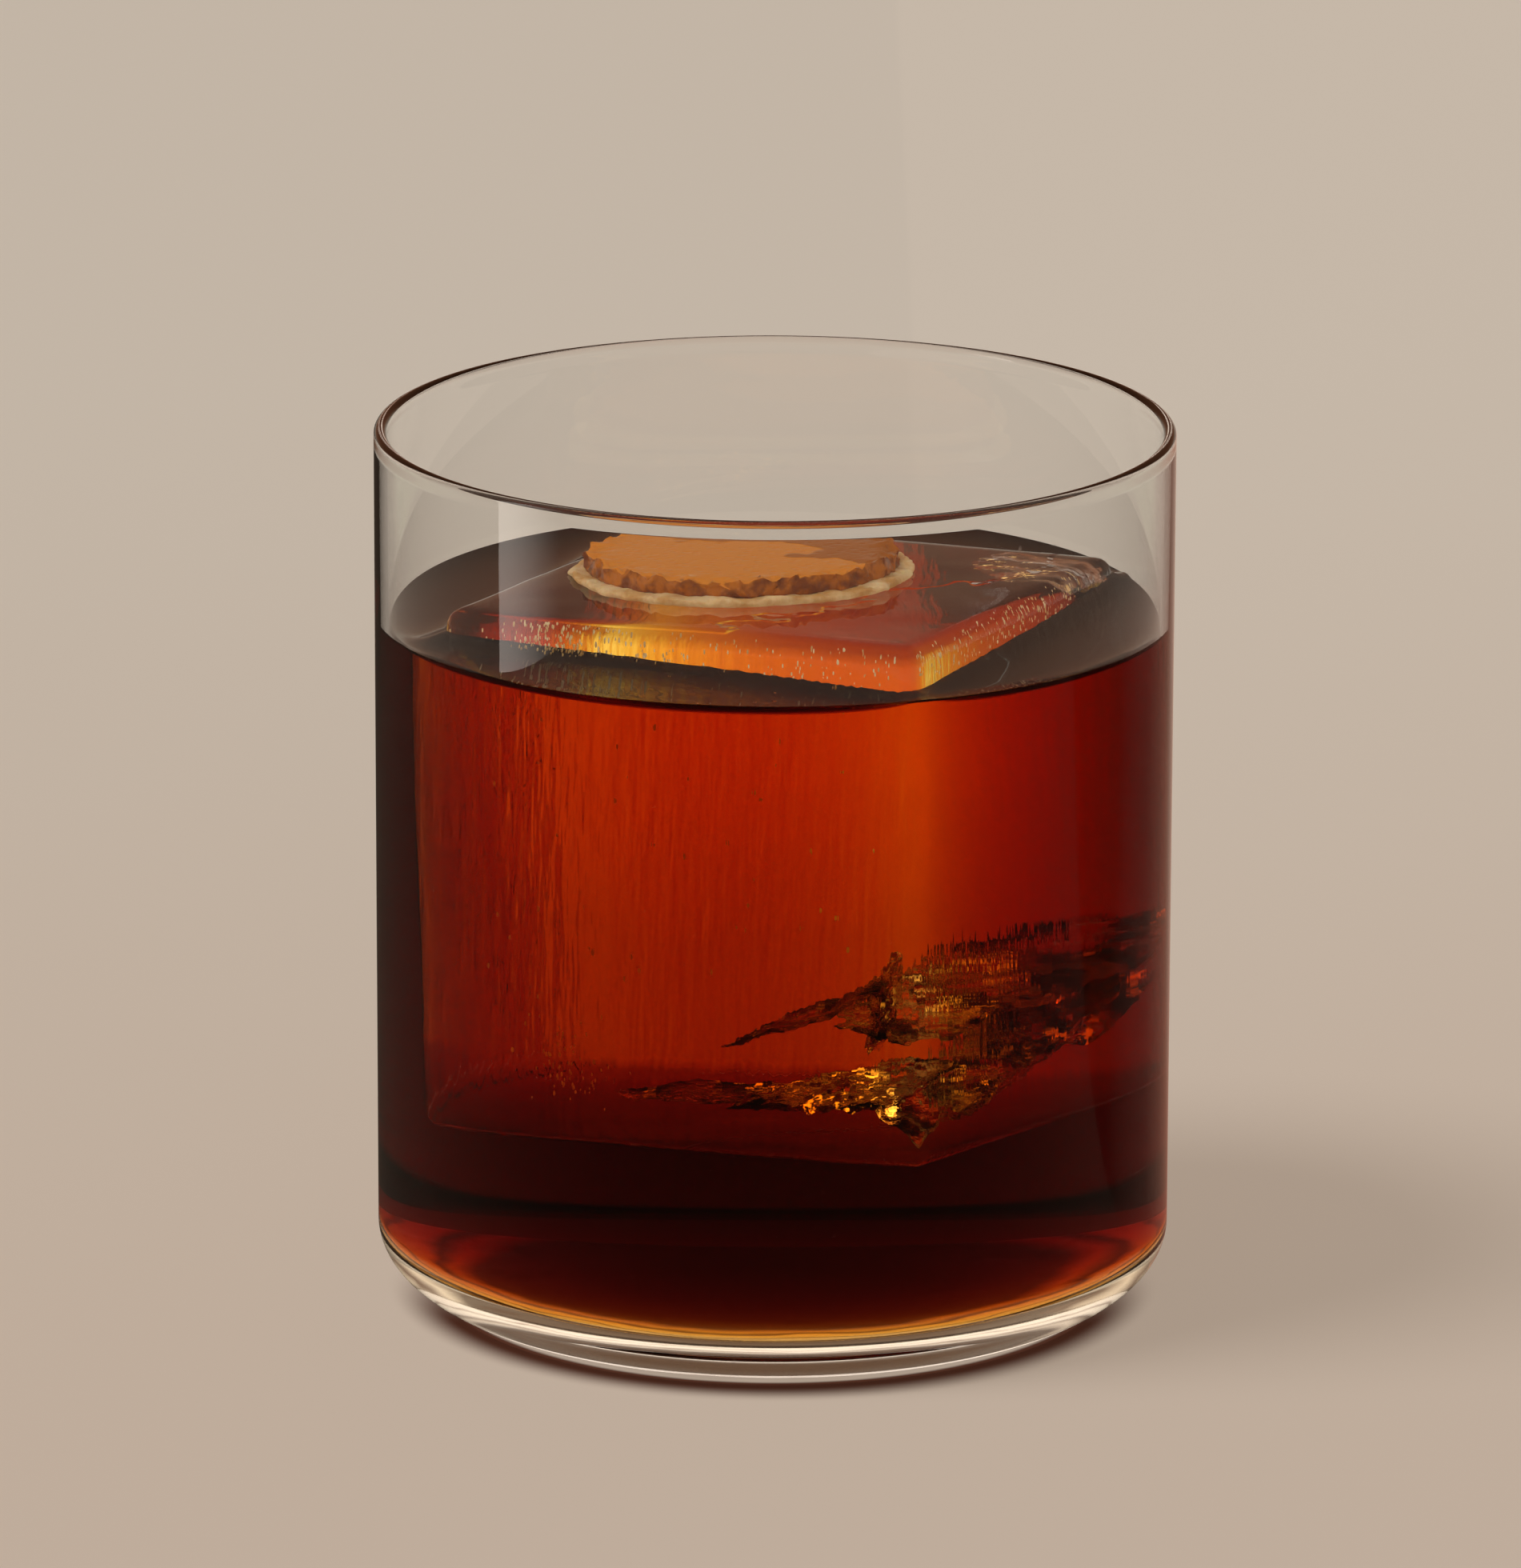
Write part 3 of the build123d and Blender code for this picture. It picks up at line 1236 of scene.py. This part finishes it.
@dataclass
class PeelCoin:
    """A round of thick peel: pith below, pored rind above. Lengths in millimetres."""

    ice: IceBlock
    diameter: float = 33.5
    thickness: float = 2.7
    crown: float = 0.2
    offset_x: float = -3.4
    offset_y: float = 5.8
    pith: float = 0.85
    lift: float = 0.02
    overlap: float = 0.25
    flare: float = 1.6
    pith_bumps: float = 0.7
    rind_bumps: float = 1.2
    rounding: float = 0.35
    rings: tuple[float, ...] = (1.0, 0.985, 0.97, 0.95, 0.92, 0.88, 0.82, 0.74, 0.64, 0.53, 0.41,
                                0.28, 0.15)

    def seat(self) -> Matrix:
        """Frame on the ice's top face, under the coin's centre.

        Returns:
            The frame.
        """
        ice = self.ice.place()
        normal = (ice.to_3x3() @ Vector((0, 0, 1))).normalized()
        origin = ice.translation / MM
        rise = normal.x * (self.offset_x - origin.x) + normal.y * (self.offset_y - origin.y)
        height = origin.z - rise / normal.z
        turn = Vector((0, 0, 1)).rotation_difference(normal).to_matrix().to_4x4()
        return Matrix.Translation(Vector((self.offset_x, self.offset_y, height)) * MM) @ turn

    def edge_radius(self, angle: float) -> float:
        """Distance in millimetres from the centre to the uneven cut edge, in one direction."""
        stray = sum(math.sin(lobes * angle + lobes) for lobes in (3, 5, 8))
        return self.diameter / 2 + 0.3 * stray / 3

    def disc(self, low: float, high: float, grow: float, crown: float, bumps: float,
             seed: float) -> Form:
        """A wobbly disc between two heights.

        Args:
            low: height of its underside.
            high: height of its top at the edge.
            grow: how much wider than the coin it is.
            crown: how far its middle rises.
            bumps: depth of its lumps.
            seed: shifts the lumps.

        Returns:
            The disc in place on the ice.
        """
        form = bmesh.new()
        outer = None
        for share in self.rings:
            ring = bmesh.ops.create_circle(form, cap_ends=False, segments=160, radius=share)["verts"]
            edges = list({edge for vert in ring for edge in vert.link_edges})
            if outer:
                bmesh.ops.bridge_loops(form, edges=outer + edges)
            outer = edges
        hub = bmesh.ops.contextual_create(form, geom=outer)["faces"]
        bmesh.ops.poke(form, faces=hub)
        flat = form.faces[:]
        grown = bmesh.ops.extrude_face_region(form, geom=flat)
        top = [item for item in grown["geom"] if isinstance(item, bmesh.types.BMVert)]
        bmesh.ops.translate(form, vec=(0, 0, 1.0), verts=top)
        sides = [edge for edge in form.edges if abs(edge.verts[0].co.z - edge.verts[1].co.z) > 0.5]
        bmesh.ops.subdivide_edges(form, edges=sides, cuts=5, use_grid_fill=True)
        for vert in form.verts:
            share = vert.co.xy.length
            angle = math.atan2(vert.co.y, vert.co.x)
            rise = vert.co.z
            round_off = self.rounding * (abs(rise - 0.5) * 2) ** 3
            radius = share * (self.edge_radius(angle) + grow - round_off)
            height = low + rise * (high - low + crown * (1 - share * share))
            place = Vector((radius * math.cos(angle), radius * math.sin(angle), height))
            lump = noise.noise_vector(place * 0.5 + Vector((seed, seed, 0)))
            fine = noise.noise_vector(place * 1.3 + Vector((0, seed, seed)))
            edge = max(0.0, share * 6 - 5.0) * min(1.0, rise * 2 + 0.2)
            place += (lump * 0.6 + fine * 0.4) * bumps * edge
            vert.co = place * MM
        bmesh.ops.recalc_face_normals(form, faces=form.faces[:])
        bmesh.ops.transform(form, matrix=self.seat(), verts=form.verts[:])
        return form

    def make(self) -> list[bpy.types.Object]:
        """Build the pith and the rind and dress them.

        Returns:
            The rind and the pith.
        """
        form = self.disc(self.lift, self.pith, self.flare, self.crown / 2, self.pith_bumps, 4.0)
        pith = piece_from(form, "peel_pith", [PithFinish().make()])
        form = self.disc(self.pith - self.overlap, self.thickness - self.crown, 0.0, self.crown,
                         self.rind_bumps, 9.0)
        rind = piece_from(form, "peel_rind", [RindFinish().make()])
        return [rind, pith]


# ---------------------------------------------------------------- studio


@dataclass
class Studio:
    """Beige paper sweep, soft light and the camera. Lengths in millimetres."""

    distance: float = 1180.0
    camera_height: float = 380.0
    look_down: float = 15.376
    lean: float = 0.16
    swing: float = 0.07
    lens: float = 263.1
    key_power: float = 0.62
    key_width: float = 24.0
    key_from: tuple[float, float, float] = (-0.809, -0.294, 1.229)

    def floor(self) -> bpy.types.Object:
        """A wide round floor just under the foot.

        Returns:
            The floor.
        """
        form = bmesh.new()
        bmesh.ops.create_circle(form, cap_ends=True, segments=96, radius=4.0)
        bmesh.ops.translate(form, vec=(0, 0, -0.02 * MM), verts=form.verts[:])
        floor = piece_from(form, "paper_floor", [PaperFinish().make()])
        floor.visible_glossy = False
        return floor

    def world(self) -> None:
        """A studio of soft light: beige walls low down, bright diffuse light overhead."""
        world = bpy.data.worlds.new("studio")
        bpy.context.scene.world = world
        world.use_nodes = True
        tree = world.node_tree
        tree.nodes.clear()
        output = tree.nodes.new("ShaderNodeOutputWorld")
        shader = tree.nodes.new("ShaderNodeBackground")
        place = tree.nodes.new("ShaderNodeTexCoord")
        split = tree.nodes.new("ShaderNodeSeparateXYZ")
        ramp = tree.nodes.new("ShaderNodeValToRGB")
        lift = tree.nodes.new("ShaderNodeMapRange")
        lift.inputs["From Min"].default_value = -1.0
        tree.links.new(place.outputs["Generated"], split.inputs[0])
        tree.links.new(split.outputs["Z"], lift.inputs[0])
        tree.links.new(lift.outputs[0], ramp.inputs[0])
        tree.links.new(ramp.outputs[0], shader.inputs[0])
        tree.links.new(shader.outputs[0], output.inputs[0])
        stops = ramp.color_ramp
        stops.elements[0].position = 0.47
        stops.elements[0].color = (0.07, 0.05, 0.04, 1.0)
        stops.elements[1].position = 0.49
        stops.elements[1].color = (0.54, 0.46, 0.37, 1.0)
        for position, colour in ((0.66, (0.54, 0.46, 0.375, 1.0)), (0.85, (0.52, 0.49, 0.46, 1.0)),
                                 (1.0, (0.52, 0.49, 0.46, 1.0))):
            stops.elements.new(position).color = colour
        shader.inputs[1].default_value = 1.0

    def sun(self) -> bpy.types.Object:
        """Wide soft light from the front left.

        Returns:
            The lamp.
        """
        data = bpy.data.lights.new("key_light", "SUN")
        data.energy = self.key_power
        data.angle = math.radians(self.key_width)
        data.color = (1.0, 0.97, 0.94)
        lamp = bpy.data.objects.new("key_light", data)
        bpy.context.scene.collection.objects.link(lamp)
        lamp.matrix_world = Vector(self.key_from).to_track_quat("Z", "Y").to_matrix().to_4x4()
        lamp.visible_glossy = False
        lamp.visible_transmission = False
        return lamp

    def panel(self, name: str, finish: bpy.types.Material, corner: Vector, across: Vector, up: Vector,
              mirrored: bool) -> bpy.types.Object:
        """A flat card that is seen only in mirror gleams or only through the clear pieces.

        Args:
            name: the card's name.
            finish: its material.
            corner: one corner, in millimetres.
            across: first side.
            up: second side.
            mirrored: True for gleams, False for what is seen through glass and liquid.

        Returns:
            The card.
        """
        form = bmesh.new()
        corners = [corner, corner + across, corner + across + up, corner + up]
        form.faces.new([form.verts.new(point * MM) for point in corners])
        card = piece_from(form, name, [finish])
        card.visible_camera = False
        card.visible_diffuse = False
        card.visible_shadow = False
        card.visible_glossy = mirrored
        card.visible_transmission = not mirrored
        return card

    def room(self) -> None:
        """A wide shell that only gleams and the view through clear pieces can meet."""
        form = bmesh.new()
        bmesh.ops.create_uvsphere(form, u_segments=48, v_segments=32, radius=3.0)
        shell = piece_from(form, "room_shell", [RoomFinish().make()], 180.0)
        shell.visible_camera = False
        shell.visible_diffuse = False
        shell.visible_shadow = False

    def cards(self) -> None:
        """Cards that shape the gleams and what is seen through the drink."""
        white = FadingCardFinish().make()
        self.panel("left_card", white, Vector((-327.0, -260.0, 8.0)), Vector((0.0, 203.0, 0.0)),
                   Vector((0.0, 0.0, 300.0)), True)
        self.panel("glow_card", GlowFinish().make(), Vector((-400.0, 43.0, 0.2)),
                   Vector((800.0, 0.0, 0.0)), Vector((0.0, 250.0, 0.0)), False)
        form = bmesh.new()
        bmesh.ops.create_circle(form, cap_ends=True, segments=96, radius=36.2 * MM)
        bmesh.ops.translate(form, vec=(0, 0, -0.01 * MM), verts=form.verts[:])
        foot = piece_from(form, "foot_glow", [FootGlowFinish().make()])
        foot.visible_camera = False
        foot.visible_diffuse = False
        foot.visible_shadow = False
        lit = CardFinish("lit_paper", (1.0, 0.87, 0.75), 0.46).make()
        self.panel("lit_paper", lit, Vector((-60.0, 20.0, 0.12)), Vector((120.0, 0.0, 0.0)),
                   Vector((0.0, 50.0, 0.0)), False)
        self.panel("right_gleam", EdgeGleamFinish().make(), Vector((20.0, 0.0, 0.1)),
                   Vector((900.0, 0.0, 0.0)), Vector((0.0, 1500.0, 0.0)), True)

    def camera(self) -> bpy.types.Object:
        """The camera, level but for a slight lean, looking down at the glass.

        Returns:
            The camera.
        """
        data = bpy.data.cameras.new("camera")
        data.sensor_fit = "VERTICAL"
        data.sensor_height = 36.0
        data.lens = self.lens
        data.clip_end = 50.0
        camera = bpy.data.objects.new("camera", data)
        bpy.context.scene.collection.objects.link(camera)
        aim = Euler((math.radians(90.0 - self.look_down), 0.0, math.radians(self.swing)))
        place = Matrix.Translation(Vector((0.0, -self.distance, self.camera_height)) * MM)
        tip = Matrix.Rotation(math.radians(self.lean), 4, "Z")
        camera.matrix_world = place @ aim.to_matrix().to_4x4() @ tip
        bpy.context.scene.camera = camera
        return camera

    def make(self) -> None:
        """Set the whole studio up."""
        self.floor()
        self.world()
        self.sun()
        self.room()
        self.cards()
        self.camera()
        scene = bpy.context.scene
        scene.view_settings.view_transform = "Standard"
        scene.cycles.max_bounces = 40
        scene.cycles.transmission_bounces = 40
        scene.cycles.glossy_bounces = 12
        scene.cycles.diffuse_bounces = 4
        scene.cycles.transparent_max_bounces = 24


# ---------------------------------------------------------------- assembly


def main() -> None:
    """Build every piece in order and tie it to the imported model."""
    logging.basicConfig(level=logging.INFO, format="%(name)s: %(message)s")
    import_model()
    tumbler_low, tumbler_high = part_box("tumbler")
    drink_low, drink_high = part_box("drink")
    level = drink_high.z / MM
    glass = Tumbler(tumbler_high.x / MM, tumbler_high.z / MM, drink_high.x / MM, drink_low.z / MM,
                    level + Drink.climb)
    ice = IceBlock(glass, level)
    coin = PeelCoin(ice)
    drink = Drink(glass, ice, level)
    made = [
        (glass.make(), "tumbler", "clear_glass"),
        (ice.make(), "ice_block", "clear_ice"),
        (drink.make(), "drink", "red_drink"),
    ]
    rind, pith = coin.make()
    made.append((rind, "peel_coin", "citrus_peel"))
    made.append((pith, None, "citrus_peel"))
    for piece, node, slot in made:
        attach(piece, BODY)
        if node:
            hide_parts(node)
        LOG.info("%s: %d faces", piece.name, len(piece.data.polygons))
    for piece, _, _ in made[:3]:
        piece.visible_diffuse = False
    made[0][0].visible_shadow = False
    Studio().make()


if __name__ == "__main__":
    main()
